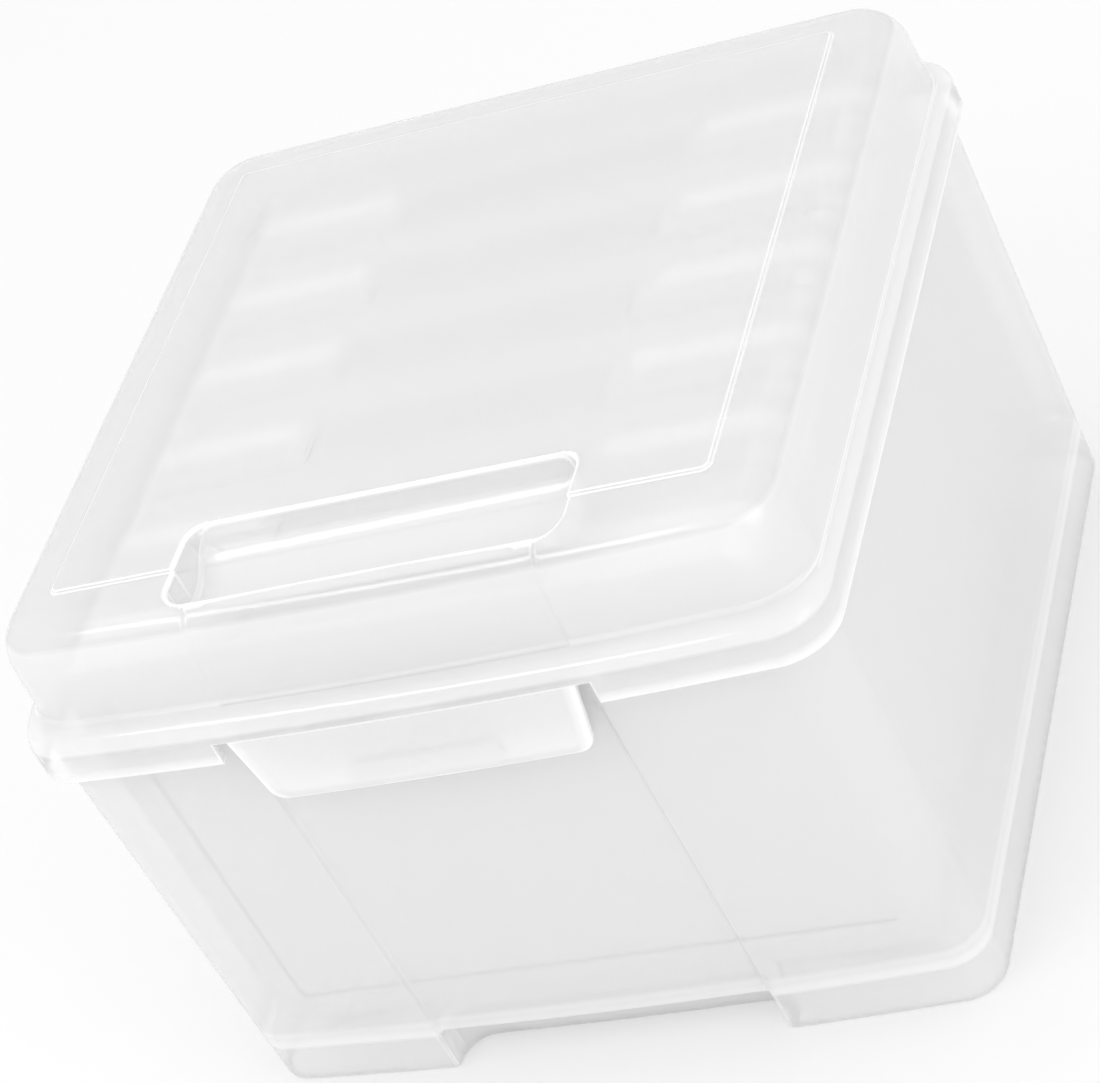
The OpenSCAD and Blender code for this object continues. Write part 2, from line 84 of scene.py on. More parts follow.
heading, pitch = radians(CAMERA_HEADING), radians(CAMERA_PITCH)
looks = Vector((sin(heading) * cos(pitch), cos(heading) * cos(pitch), sin(pitch)))
camera_data = bpy.data.cameras.new("camera")
camera_data.sensor_fit = "HORIZONTAL"
camera_data.sensor_width = SENSOR_MM
camera_data.lens = CAMERA_LENS_MM
camera = bpy.data.objects.new("camera", camera_data)
bpy.context.scene.collection.objects.link(camera)
camera.matrix_world = (Matrix.Translation(Vector(CAMERA_PLACE_MM) * MM)
                       @ looks.to_track_quat("-Z", "Y").to_matrix().to_4x4()
                       @ Matrix.Rotation(radians(CAMERA_ROLL), 4, "Z"))
bpy.context.scene.camera = camera
print("camera", tuple(round(v, 3) for v in camera.location))

# %% [markdown]
# Nodes and colours
#
# Materials are small graphs of nodes. One function adds a node and its links, and one turns a colour of a
# paint chart into the linear values that light is worked out in.

# %% Helpers for materials
def linear(chart_hex):
    """A colour written as on a chart, such as F4F6F6, in linear light."""
    parts = [int(chart_hex[i:i + 2], 16) / 255 for i in (0, 2, 4)]
    return [p / 12.92 if p <= 0.04045 else ((p + 0.055) / 1.055) ** 2.4 for p in parts] + [1.0]


def add_node(tree, kind, settings=None, links=None, values=None):
    """A node with its settings, its sockets' own values and what is linked to them."""
    node = tree.nodes.new(kind)
    for name, value in (settings or {}).items():
        setattr(node, name, value)
    for name, value in (values or {}).items():
        node.inputs[name].default_value = value
    for name, source in (links or {}).items():
        tree.links.new(source, node.inputs[name])
    return node


def new_material(name):
    material = bpy.data.materials.new(name)
    material.use_nodes = True
    material.node_tree.nodes.clear()
    return material, material.node_tree


print("F6F6F6 in linear light:", round(linear("F6F6F6")[0], 3))

# %% [markdown]
# Natural polypropylene
#
# Polypropylene without pigment is milky: part of the light goes through it, a little blurred, and part is
# scattered inside. Moulded against polished steel it is glossy, with a faint waviness where it shrank. Light
# that travels inside the walls comes out at their edges. Here that is painted light: on small roundings the
# colour is painted white and the skin hides more, so they look brighter than the walls.
#
# A wall has two skins here. Its milkiness is put in the outer one and the inner one is left nearly clear, so
# that light isn't caught between them. Each mesh carries two numbers for this: how much painted light a point
# has, and inner_skin. Subsurface scattering would be the other way, but in walls this thin it only makes the
# box darker.

# %% Natural polypropylene
INNER_SHARE = 0.3  # how much of the outer skin's cover the inner skin has
THIN_IOR = 1.03  # polypropylene has 1.49, but a thin wall hardly shifts what is behind it
WAVE_LENGTH, WAVE_DEPTH, WAVE_STRENGTH = 14 * MM, 0.2 * MM, 0.15
COAT_ROUGHNESS = 0.08
# The white that edges and bands are painted with, as painted light.
PAINTED_LIGHT_COLOUR = "FFFFFF"


def by_number(tree, attribute, at_zero, at_one):
    """A value that goes from one to the other with a number that the mesh carries."""
    number = add_node(tree, "ShaderNodeAttribute", {"attribute_name": attribute})
    return add_node(tree, "ShaderNodeMapRange", values={"To Min": at_zero, "To Max": at_one},
                    links={"Value": number.outputs["Fac"]}).outputs["Result"]


def polypropylene(name, milk, cover, edge_cover, clear, haze, gloss):
    """milk: colour of the walls; cover: how much a skin hides; clear: share of light let through."""
    material, tree = new_material(name)
    place = add_node(tree, "ShaderNodeTexCoord")
    waves = add_node(tree, "ShaderNodeTexNoise", values={"Scale": 1 / WAVE_LENGTH, "Detail": 2.0},
                     links={"Vector": place.outputs["Object"]})
    bump = add_node(tree, "ShaderNodeBump", values={"Strength": WAVE_STRENGTH, "Distance": WAVE_DEPTH},
                    links={"Height": waves.outputs["Fac"]})
    # Painted light: where the mesh carries it, the colour goes to white, the skin hides more and lets no
    # light through.
    bend = add_node(tree, "ShaderNodeAttribute", {"attribute_name": "painted_light_amount"})
    colour = add_node(tree, "ShaderNodeMix", {"data_type": "RGBA"}, links={"Factor": bend.outputs["Fac"]})
    colour.inputs[6].default_value, colour.inputs[7].default_value = linear(milk), linear(PAINTED_LIGHT_COLOUR)
    hide = add_node(tree, "ShaderNodeMath", {"operation": "MULTIPLY"},
                    links={0: by_number(tree, "painted_light_amount", cover, edge_cover),
                           1: by_number(tree, "inner_skin", 1.0, INNER_SHARE)})
    plastic = add_node(tree, "ShaderNodeBsdfPrincipled",
                       values={"Roughness": haze, "IOR": THIN_IOR, "Coat Weight": gloss,
                               "Coat Roughness": COAT_ROUGHNESS},
                       links={"Base Color": colour.outputs[2], "Alpha": hide.outputs[0],
                              "Transmission Weight": by_number(tree, "painted_light_amount", clear, 0.0),
                              "Normal": bump.outputs["Normal"]})
    add_node(tree, "ShaderNodeOutputMaterial", links={"Surface": plastic.outputs["BSDF"]})
    return material


# %% [markdown]
# Three finishes
#
# The box is polished and lets most light through. The inner cases are thinner but satin, and look whiter,
# since nothing shines through them from behind. Their latches are a thin flap of the same plastic.

# %% The three finishes
shell_plastic = polypropylene("natural_polypropylene_moulded", milk="FDFDFD", cover=0.70, edge_cover=0.95,
                              clear=0.40, haze=0.16, gloss=1.0)
case_plastic = polypropylene("natural_polypropylene_satin", milk="F6F6F6", cover=0.93, edge_cover=1.0,
                             clear=0.0, haze=0.35, gloss=0.3)
catch_plastic = polypropylene("natural_polypropylene_thin", milk="F6F6F6", cover=0.85, edge_cover=1.0,
                              clear=0.0, haze=0.35, gloss=0.3)
print("finishes:", len(bpy.data.materials))

# %% [markdown]
# Outlines
#
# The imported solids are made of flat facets. On a translucent moulding every soft edge shows as a bright
# line, so the three big pieces are made again here with fine steps and small roundings. Sizes are in
# millimetres, with X to the right, Y to the back and the hinge line's middle on X = 0. They are those of the
# solids, apart from the front's middle panel: the photograph shows its sides as thin lines, so here it is a
# little less deep, with narrower ramps.
#
# Seen from above, the tub and the lid are rounded rectangles whose front bows outward along a wide arc. One
# function gives that outline for any level: a wall is then a stack of such rings with faces between them,
# and each ring can lean, round or step in.

# %% Outline of one level
WALL = 1.8
SHIFT_Y = -1.0473  # the box is centred over its bowed front and its hinges
BOW = radians(3.5)  # half the angle of the arc of the front
PANEL_HALF, PANEL_INSET, RAMP = 42.0, 1.0, 2.0
TOE_R = 8.0  # rounding at each end of the toe space
SLIT = 3.4  # width of the slit at each side of the latch tongue, at its root
FRONT_XS = [8, 16, 24, 32, 36, 38, 39.5, 40.5, 41, 41.4, 41.7, 42, 42.3, 42.6, 43, 43.4, 43.8, 44.2, 44.6,
            44.9, PANEL_HALF + SLIT, 46, 49, 55]
CORNER_STEPS = 12


def smooth(s):
    """0 up to s = 0, 1 from s = 1 on, and a soft S between."""
    s = min(1, max(0, s))
    return s * s * (3 - 2 * s)


def share_of_panel(x):
    """1 on the middle panel of the front, 0 beside it, with a soft ramp between."""
    return smooth((PANEL_HALF + RAMP / 2 - x) / RAMP)


def share_of_toe(x):
    """How much of the toe space's depth is there: a quarter round at each end."""
    s = min(1, max(0, (PANEL_HALF - x) / TOE_R))
    return sqrt(1 - (1 - s) ** 2)


def bow(half, r):
    """Radius of the front's arc, and how far its middle stands forward."""
    big = (half[0] - r + r * sin(BOW)) / sin(BOW)
    return big, half[1] - r + r * cos(BOW) + big * (1 - cos(BOW))


def arc(cx, cy, r, start, end):
    angles = [start + (end - start) * i / CORNER_STEPS for i in range(CORNER_STEPS + 1)]
    return [(cx + r * cos(a), cy + r * sin(a)) for a in angles]


def outline(half, r, inset=0.0, toe=0.0, wide=0.0):
    """Points round one level; wide is added to each side of the panel and the toe space."""
    cx, cy = half[0] - r, half[1] - r
    big, front = bow(half, r)
    reach = cx + r * sin(BOW)
    right = FRONT_XS + [FRONT_XS[-1] + (reach - FRONT_XS[-1]) * i / 4 for i in range(1, 4)]
    quarter = pi / 2
    points = arc(cx, cy, r, 0, quarter) + arc(-cx, cy, r, quarter, 2 * quarter)
    points += arc(-cx, -cy, r, 2 * quarter, 3 * quarter - BOW)
    for x in [-v for v in reversed(right)] + [0] + right:
        back = inset * share_of_panel(abs(x) - wide) + toe * share_of_toe(abs(x) - wide)
        points.append((x, big - front - sqrt(big * big - x * x) + back))
    return points + arc(cx, -cy, r, 3 * quarter + BOW, 4 * quarter)


def ring(z, half, r, inset=0.0, toe=0.0, wide=0.0):
    return [(x, y, z) for x, y in outline(half, r, inset, toe, wide)]


print("points in one outline:", len(outline((94, 95), 12)))

# %% [markdown]
# Where the edges are
#
# The material paints light on the edges, so it needs to know where an edge is. At each point, the angle
# between two faces over the distance between their middles says how tightly the surface bends, in radians per
# mm. A rounding of 1 mm bends by 1, and the long arcs of the dome hardly bend at all.

# %% Marking the edges
BEND_LOW, BEND_HIGH = 0.3, 1.2  # per mm: painted edge light starts at this bend, and is full from that one
NARROW = 0.2  # a painted edge line that is no wider than this is filled in
LEAST_GAP = 0.01  # faces count as at least this far apart


def paint_light_on_edges(shape):
    """Each point gets painted edge light: 0 where the surface is flat and 1 on a small rounding."""
    layer = shape.verts.layers.float.new("painted_light_amount")
    for vert in shape.verts:
        bend = 0.0
        for edge in vert.link_edges:
            if len(edge.link_faces) != 2:
                continue
            one, other = (face.calc_center_median() for face in edge.link_faces)
            along = (edge.verts[1].co - edge.verts[0].co).normalized()
            across = (one - other) - along * (one - other).dot(along)
            bend = max(bend, edge.calc_face_angle(0) / max(across.length / MM, LEAST_GAP))
        vert[layer] = min(1, max(0, (bend - BEND_LOW) / (BEND_HIGH - BEND_LOW)))
    marks = [vert[layer] for vert in shape.verts]
    shape.verts.index_update()
    for edge in shape.edges:  # a step that is narrower than this shows as one painted line
        if edge.calc_length() < NARROW * MM:
            for vert, other in (edge.verts, reversed(edge.verts)):
                vert[layer] = max(vert[layer], marks[other.index])


print("a rounding of 1 mm is marked", round((1 - BEND_LOW) / (BEND_HIGH - BEND_LOW), 2))

# %% [markdown]
# Meshes from rings
#
# A shell is gathered as points and faces in plain lists, in millimetres, and becomes a mesh in metres at the
# very end. Points that lie on each other are then merged, so rings, patches and rims close into one skin.

# %% Gathering a shell
MERGE, SLIVER = 0.004, 0.002  # points closer than the first merge; edges shorter than the second go
INNER_DIM = 0.85  # edges of the inner skin get this much less painted light
SMOOTH_BELOW = radians(32)


def smooth_piece(name, mesh, material):
    """The object of a finished mesh, shaded smooth over its roundings."""
    mesh.materials.clear()
    mesh.materials.append(material)
    mesh.shade_smooth()
    mesh.set_sharp_from_angle(angle=SMOOTH_BELOW)
    piece = bpy.data.objects.new(name, mesh)
    bpy.context.scene.collection.objects.link(piece)
    return piece


def count_open(shape):
    return sum(1 for edge in shape.edges if not edge.is_manifold)


class Shell:
    """Points and faces of a moulding; inner is 1 for the points of its inner skin.

    Its bands hold (low z, high z, least painted light) for zones that are painted whiter as a whole."""

    def __init__(self):
        self.points, self.faces, self.inner = [], [], []
        self.bands, self.painted_edge_share = [], 1.0

    def add(self, points, faces, inner=0):
        start = len(self.points)
        self.points += points
        self.inner += [inner] * len(points)
        self.faces += [tuple(start + i for i in face) for face in faces]

    def loft(self, rings, closed=True, skip=lambda row, column: False, inner=0):
        """Faces between rings that follow each other; skip leaves a window in them."""
        n = len(rings[0])
        self.add([p for each in rings for p in each],
                 [(i * n + j, i * n + (j + 1) % n, (i + 1) * n + (j + 1) % n, (i + 1) * n + j)
                  for i in range(len(rings) - 1) for j in range(n if closed else n - 1) if not skip(i, j)],
                 inner)

    def cap(self, points, middle, inner=0):
        n = len(points)
        self.add(points + [middle], [(j, (j + 1) % n, n) for j in range(n)], inner)

    # Paints light: on tight roundings, much less on the inner skin, and at least each band's share inside a
    # band.
    def paint_edge_and_band_light(self, shape, skin):
        paint_light_on_edges(shape)
        light = shape.verts.layers.float["painted_light_amount"]
        for vert in shape.verts:
            vert[light] *= self.painted_edge_share * (1 - INNER_DIM * vert[skin])
            for low_z, high_z, least in self.bands:
                if low_z <= vert.co.z / MM <= high_z:
                    vert[light] = max(vert[light], least)

    def to_piece(self, name, material):
        """One mesh object in metres, its doubles merged and its faces outward."""
        mesh = bpy.data.meshes.new(name)
        mesh.from_pydata([(x * MM, (y + SHIFT_Y) * MM, z * MM) for x, y, z in self.points], [], self.faces)
        shape = bmesh.new()
        shape.from_mesh(mesh)
        skin = shape.verts.layers.float.new("inner_skin")
        for vert, inner in zip(shape.verts, self.inner):
            vert[skin] = inner
        bmesh.ops.remove_doubles(shape, verts=shape.verts, dist=MERGE * MM)
        bmesh.ops.dissolve_degenerate(shape, edges=shape.edges, dist=SLIVER * MM)
        bmesh.ops.recalc_face_normals(shape, faces=shape.faces)
        self.paint_edge_and_band_light(shape, skin)
        open_edges = count_open(shape)
        shape.to_mesh(mesh)
        shape.free()
        print(name, "faces:", len(mesh.polygons), "open edges:", open_edges)
        return smooth_piece(name, mesh, material)


def rounding(steps, start=0, end=90):
    """Angles along part of a circle, in radians."""
    return [radians(start + (end - start) * i / steps) for i in range(steps + 1)]


# %% [markdown]
# The tub
#
# The tub is one skin: inside its hollow foot, round the foot's edge, up the outside, over the rim, and down
# inside to the floor. The middle of the front is set back between two soft ramps, and the foot steps back
# further under it, to leave room for fingertips.

# %% Rings of the tub
RIM = (94.1, 95.1, 120.6)  # half width, half depth and height of the rim
RIM_ROUND = 0.6
DRAFT = (1.5, 2.8)  # how much nearer each wall stands at the foot
FOOT_R, RIM_R_MORE, LEAST_R = 9.5, 2.0, 1.0  # corner radius at the foot, and what the rim's has more
FLOOR_Z, FLOOR_T, FLOOR_ROUND = 14.5, 2.0, 3.0
CEILING_ROUND, FOOT_INNER_ROUND, FOOT_ROUND = 1.0, 0.4, 1.2
TOE_DEPTH = 8.4
TOE_LOW, TOE_HIGH, TOE_SOFT, TOE_EDGE = 11.4, 12.4, 0.7, 0.9  # the shelf over the toe space
PANEL_TOP, PANEL_FADE = 106.0, 6.0  # from here up, over this height, the panel comes forward again


def tub_ring(z, inward=0.0, panel=1.0, toe=0.0):
    half = [RIM[i] - DRAFT[i] * (1 - z / RIM[2]) - inward for i in (0, 1)]
    r = max(FOOT_R + RIM_R_MORE * z / RIM[2] - inward, LEAST_R)
    return ring(z, half, r, PANEL_INSET * panel, toe, inward)


def foot_hollow():
    """From the ceiling of the hollow foot down its inside, nearly to its edge."""
    under, r, small = FLOOR_Z - FLOOR_T, CEILING_ROUND, FOOT_INNER_ROUND
    rings = [tub_ring(under - r + r * cos(a), WALL + r - r * sin(a), 1, TOE_DEPTH) for a in rounding(3)]
    return rings + [tub_ring(small * (1 - sin(a)), WALL + small * cos(a) - small, 1, TOE_DEPTH)
                    for a in rounding(2)]


def foot_edge():
    return [tub_ring(FOOT_ROUND * (1 - cos(a)), FOOT_ROUND * (1 - sin(a)), 1, TOE_DEPTH)
            for a in rounding(4)]


def toe_step():
    """The shelf over the toe space: a hollow rounding at its back and a soft edge at its front."""
    rings = [tub_ring(TOE_LOW - TOE_SOFT * cos(a), 0, 1, TOE_DEPTH - TOE_SOFT * (1 - sin(a)))
             for a in rounding(3)]
    return rings + [tub_ring(TOE_HIGH + TOE_EDGE * (1 - cos(a)), 0, 1, TOE_EDGE * (1 - sin(a)))
                    for a in rounding(4)]


def tub_walls():
    """From the shelf up, and over the rim."""
    top, r = RIM[2], RIM_ROUND
    rings = [tub_ring(z) for z in (15, 16.5, 18, 40, 75, PANEL_TOP)]
    rings += [tub_ring(PANEL_TOP + PANEL_FADE * t, 0, 1 - smooth(t)) for t in (0.25, 0.5, 0.75, 1)]
    rings += [tub_ring(top - r * (1 - sin(a)), r * (1 - cos(a)), 0) for a in rounding(3)]
    return rings + [tub_ring(top - r * (1 - cos(a)), WALL - r * (1 - sin(a)), 0) for a in rounding(3)]


def tub_inside():
    rings = [tub_ring(PANEL_TOP + PANEL_FADE * t, WALL, 1 - smooth(t)) for t in (1, 0.75, 0.5, 0.25, 0)]
    rings += [tub_ring(FLOOR_Z + FLOOR_ROUND * (1 - sin(a)), WALL + FLOOR_ROUND * (1 - cos(a)))
              for a in rounding(6)]
    return rings + [tub_ring(FLOOR_Z, WALL + FLOOR_ROUND + 1)]


hollow_foot, edge_of_foot = foot_hollow(), foot_edge()
outside, inside = toe_step() + tub_walls(), tub_inside()
print("rings of the tub's outside:", len(outside))

# %% [markdown]
# The tub's skin
#
# The rings are lofted in three parts, since the hollow foot and the inside count as inner skin. Light
# gathers where the floor meets the walls. Here it is painted light, pale bands round the foot, and the walls
# from the shelf to the rim are painted a little whiter than the foot.

# %% Skin of the tub
# Bands of painted light: the walls from the shelf to the rim, the shelf, and where the floor's top meets the
# walls.
WALL_LIGHT = (TOE_HIGH - 0.1, RIM[2] + 0.1, 0.25)
SHELF_LIGHT, FLOOR_LIGHT = (TOE_HIGH - 0.1, 13.4, 0.6), (14.9, 16.6, 0.45)

tub = Shell()
tub.loft(hollow_foot[:-1], inner=1)
tub.loft(hollow_foot[-2:] + edge_of_foot + outside)
tub.loft(outside[-1:] + inside, inner=1)
tub.cap(hollow_foot[0], (0, 0, FLOOR_Z - FLOOR_T))
tub.cap(inside[-1], (0, 0, FLOOR_Z), inner=1)
tub.painted_edge_share = 0.6
tub.bands = [WALL_LIGHT, SHELF_LIGHT, FLOOR_LIGHT]
print("faces of the tub so far:", len(tub.faces))

# %% [markdown]
# Hinges and the catch on the tub
#
# Behind the back wall stand two pairs of lugs with a pin between each pair, and on the front a nose for the
# latch. They are small, so each is a section drawn as a polygon, pushed along X, with its edges broken.

# %% Bars along X
MID_STEP = 0.3  # a broken edge has one step between its ends, this far in


def bar(shell, section, low_x, high_x, soft=0.4):
    """A section in Y and Z, carried along X with broken edges."""
    cy = sum(y for y, z in section) / len(section)
    cz = sum(z for y, z in section) / len(section)
    size = max(hypot(y - cy, z - cz) for y, z in section)
    rings = []
    mid = soft * MID_STEP
    for x, inward in ((low_x, soft), (low_x + mid, mid), (low_x + soft, 0),
                      (high_x - soft, 0), (high_x - mid, mid), (high_x, soft)):
        k = 1 - inward / size
        rings.append([(x, cy + (y - cy) * k, cz + (z - cz) * k) for y, z in section])
    shell.loft(rings)
    shell.cap(rings[0], (low_x, cy, cz))
    shell.cap(rings[-1], (high_x, cy, cz))


def circle(cy, cz, r, start=0, end=360, steps=32):
    whole = abs(end - start) == 360
    angles = [radians(start + (end - start) * i / steps) for i in range(steps if whole else steps + 1)]
    return [(cy + r * cos(a), cz + r * sin(a)) for a in angles]


# %% Lugs, pins and the nose of the catch
HINGE_X, HINGE_Y, HINGE_Z = 52.0, 99.661, 106.0
KNUCKLE_R, KNUCKLE_LEN, PIN_R, PIN_GAP = 4.0, 16.0, 2.2, 0.06
LUG_R, LUG_T, LUG_GAP, LUG_ROOT = KNUCKLE_R - 0.4, 4.0, 0.5, 0.9
CATCH_Z, CATCH_HALF, NOSE_Y = 104.9, 16.0, -99.166
NOSE_H, NOSE_TIP = 4.3, 1.1  # height of the nose at the wall and at its tip

wall_y = RIM[1] - DRAFT[1] * (1 - HINGE_Z / RIM[2])
lug = circle(HINGE_Y, HINGE_Z, LUG_R, -90, 90, 20)
lug += [(wall_y - LUG_ROOT, HINGE_Z + LUG_R), (wall_y - LUG_ROOT, HINGE_Z - 2.2 * LUG_R)]
for side in (-1, 1):
    middle = side * HINGE_X
    for end in (-1, 1):
        x = middle + end * (KNUCKLE_LEN / 2 + LUG_GAP + LUG_T / 2)
        bar(tub, lug, x - LUG_T / 2, x + LUG_T / 2)
    bar(tub, circle(HINGE_Y, HINGE_Z, PIN_R), middle - KNUCKLE_LEN / 2 - LUG_GAP - 1,
        middle + KNUCKLE_LEN / 2 + LUG_GAP + 1, 0.2)

nose = [(-RIM[1], CATCH_Z), (-RIM[1], CATCH_Z + NOSE_H), (NOSE_Y, CATCH_Z + NOSE_TIP), (NOSE_Y, CATCH_Z)]
bar(tub, nose, -CATCH_HALF, CATCH_HALF, 0.3)
print("the nose stands", round(-NOSE_Y - RIM[1], 2), "mm in front of the rim")

# %% [markdown]
# The lid's flange, shoulder and dome
#
# From its lower edge up, the lid is a plain flange, a quarter of an ellipse for the shoulder, a small hollow
# where that meets the dome, the dome's wall, and the rounding along its top. The middle of the flange's
# front is left out, for the latch tongue.

# %% Rings of the lid
FLANGE = (97.0, 99.0, 110.7)  # half width, half depth and lower edge of the flange
FLANGE_R, DOME_R, LEAST_DOME_R = 13.0, 14.0, 1.5
LEDGE = (2.1, 6.5)  # from the flange in to the dome
SHOULDER_Z, SHOULDER_H = 122.7, 5.5
HOLLOW_R, HOLLOW_DIP = 1.2, 0.12  # the hollow between shoulder and dome, and how far it dips
DOME_DRAFT, RELIEF = 0.9, 0.5  # lean of the dome's wall, and how far its middle panel is set back
BORDER_Z, EDGE_R = 146.2, 10.0  # height of the border round the top, and the rounding outside it
EDGE_Z = BORDER_Z - EDGE_R
OUTER_ANGLE, INNER_ANGLE = 45, 20  # how far up that rounding the rings go, outside and inside
ROOT_Z = 116.9  # the tongue bends along this line
MID_FLANGE_Z = 114.0
LOW_ROUND, INNER_LOW_ROUND = 0.5, 0.3
REST_GAP, REST_ROUND = 0.3, 1.5  # the shoulder's underside stays this far over the rim, and its rounding


def dome_half(z, inward):
    lean = DOME_DRAFT * (z - SHOULDER_Z) / (BORDER_Z - SHOULDER_Z)
    return [FLANGE[i] - LEDGE[i] - lean - inward for i in (0, 1)]


def dome_ring(z, inward, wall=0.0, relief=1.0):
    return ring(z, dome_half(z, inward), max(DOME_R - inward, LEAST_DOME_R), RELIEF * relief, 0, wall)


def flange_ring(z, inward=0.0, share=0.0):
    """share goes from 0 on the flange to 1 on the dome."""
    half = [FLANGE[i] - LEDGE[i] * share - inward for i in (0, 1)]
    return ring(z, half, FLANGE_R + (DOME_R - FLANGE_R) * share - inward)


def shoulder_hollow(a):
    reach = LEDGE[1] - HOLLOW_R * (1 - sin(a))
    return ring(SHOULDER_Z - HOLLOW_DIP + HOLLOW_R * (1 - cos(a)),
                [FLANGE[i] - LEDGE[i] * reach / LEDGE[1] for i in (0, 1)],
                FLANGE_R + (DOME_R - FLANGE_R) * reach / LEDGE[1], RELIEF * (1 - cos(a)))


low = FLANGE[2]
r = LOW_ROUND
outer_rings = [flange_ring(low + r * (1 - cos(a)), r * (1 - sin(a))) for a in rounding(4)]
outer_rings += [flange_ring(z) for z in (MID_FLANGE_Z, ROOT_Z)]
WINDOW_ROWS = len(outer_rings) - 1  # the window for the tongue reaches up to the root
outer_rings += [flange_ring(SHOULDER_Z - SHOULDER_H * (1 - sin(a)), 0, 1 - cos(a))
                for a in rounding(8, 0, 76)]
outer_rings += [shoulder_hollow(a) for a in rounding(5)]
outer_rings += [dome_ring(z, 0) for z in (SHOULDER_Z + 3, 130, EDGE_Z - 1)]
outer_rings += [dome_ring(EDGE_Z + EDGE_R * sin(a), EDGE_R * (1 - cos(a)))
                for a in rounding(6, 0, OUTER_ANGLE)]

r = INNER_LOW_ROUND
inner_rings = [flange_ring(low + r * (1 - cos(a)), WALL - r * (1 - sin(a))) for a in rounding(4)]
inner_rings += [flange_ring(z, WALL) for z in (MID_FLANGE_Z, ROOT_Z)]
under = RIM[2] + REST_GAP
inner_rings += [flange_ring(under - REST_ROUND * (1 - sin(a)), WALL + REST_ROUND * (1 - cos(a)))
                for a in rounding(5)]
inner_rings += [dome_ring(z, WALL, WALL, share)
                for z, share in ((under + 0.2, 0), (123, 0.5), (125, 1), (130, 1))]
inner_edge = EDGE_R - WALL
inner_rings += [dome_ring(EDGE_Z + inner_edge * sin(a), WALL + inner_edge * (1 - cos(a)), WALL)
                for a in rounding(3, 0, INNER_ANGLE)]
print("rings outside and inside:", len(outer_rings), len(inner_rings))

# %% [markdown]
# The lid's walls
#
# Both stacks of rings are lofted with the same window left open, and the window's rim and the flange's lower
# edge are closed with strips of faces between the two skins. The shoulder lies on the tub's rim, so two
# walls are seen there at once: it is painted whiter as a band of painted light, and the dome's steep wall
# gets painted light too.

# %% Walls of the lid
front = outline(FLANGE[:2], FLANGE_R)
window = [i for i, (x, y) in enumerate(front) if y < 0 and abs(x) <= PANEL_HALF + SLIT + 0.01]
first, last = window[0], window[-1]


def in_window(row, column):
    return row < WINDOW_ROWS and first <= column < last


lid = Shell()
for inner, rings in enumerate((outer_rings, inner_rings)):
    lid.loft(rings, skip=in_window, inner=inner)
n = len(front)
lid.add(outer_rings[0] + inner_rings[0],
        [(j, (j + 1) % n, n + (j + 1) % n, n + j) for j in range(n) if not in_window(0, j)])
for column in (first, last):
    sides = [rings[row][column] for rings in (outer_rings, inner_rings) for row in range(WINDOW_ROWS + 1)]
    lid.add(sides, [(r, r + 1, WINDOW_ROWS + 2 + r, WINDOW_ROWS + 1 + r) for r in range(WINDOW_ROWS)])
m = last - first + 1
lid.add(outer_rings[WINDOW_ROWS][first:last + 1] + inner_rings[WINDOW_ROWS][first:last + 1],
        [(j, j + 1, m + j + 1, m + j) for j in range(m - 1)])
# Painted light: a band on the shoulder, and a weaker one up the dome's steep wall.
lid.bands = [(118.4, SHOULDER_Z - 0.1, 0.5), (SHOULDER_Z, 142.0, 0.45)]
print("columns of the window:", m)

# %% [markdown]
# The top of the lid
#
# The top is nearly flat, with three things in it: the rounding to the dome's wall, the raised panel, and the
# finger scoop, a round trough with upright ends. A height is worked out for any place on it, first for the
# plain top and its rounded edge.

# %% Height of the plain top
HALVINGS = 30


def edge_distance(x, y, z, wall):
    """How far inside the dome's wall a place is, at height z."""
    half, r = dome_half(z, wall), DOME_R - wall
    cx, cy = half[0] - r, half[1] - r
    big, front = bow(half, r)
    ax = abs(x)
    if y >= -cy:
        if y > cy and ax > cx:
            return r - hypot(ax - cx, y - cy)
        return min(half[0] - ax, half[1] - y)
    y -= RELIEF * share_of_panel(ax - wall)
    if ax > cx and (ax - cx) > (-y - cy) * tan(BOW):
        return r - hypot(ax - cx, y + cy)
    return min(half[0] - ax, big - hypot(x, y - (big - front)))


def edge_height(x, y, wall):
    """Height of the plain top there; on the rounding it is found by halving the angle."""
    r = EDGE_R - wall
    low, high = 0.0, pi / 2
    if edge_distance(x, y, EDGE_Z + r, wall) >= r:
        return EDGE_Z + r
    for _ in range(HALVINGS):
        a = (low + high) / 2
        if edge_distance(x, y, EDGE_Z + r * sin(a), wall) > r * (1 - cos(a)):
            low = a
        else:
            high = a
    return EDGE_Z + r * sin(low)


print("height of the flat top:", round(edge_height(0, 0, 0), 2))

# %% [markdown]
# The raised panel and the scoop
#
# Both are told apart by a distance to a rounded rectangle. The panel rises over a narrow soft step. The
# scoop takes the lower of the top and a round trough, with small roundings at the top and the foot of its
# walls.

# %% Height with the panel and the scoop
TOP_HALF, TOP_R, STEP_H, PANEL_SOFT = (79.6, 76.3), 2.0, 0.8, 0.3
SCOOP_HALF, SCOOP_FRONT, SCOOP_BACK, SCOOP_PLAN_R = 47.5, -86.466, -62.566, 5.0
SCOOP_R, SCOOP_AXIS = 14.0, (-75.754, 150.9)
SCOOP_HALF_Y, SCOOP_Y = (SCOOP_BACK - SCOOP_FRONT) / 2, (SCOOP_BACK + SCOOP_FRONT) / 2
LIP, FOOT, LEAN = 1.0, 1.4, 0.25  # roundings at the top and the foot of the scoop's walls, and their lean
MOST_ROUND = 0.45  # where the wall is low, each takes at most this share of it


def box_distance(x, y, half, middle_y, r):
    """How far outside a rounded rectangle a place is; negative inside."""
    dx, dy = abs(x) - half[0] + r, abs(y - middle_y) - half[1] + r
    return hypot(max(dx, 0), max(dy, 0)) + min(max(dx, dy), 0) - r


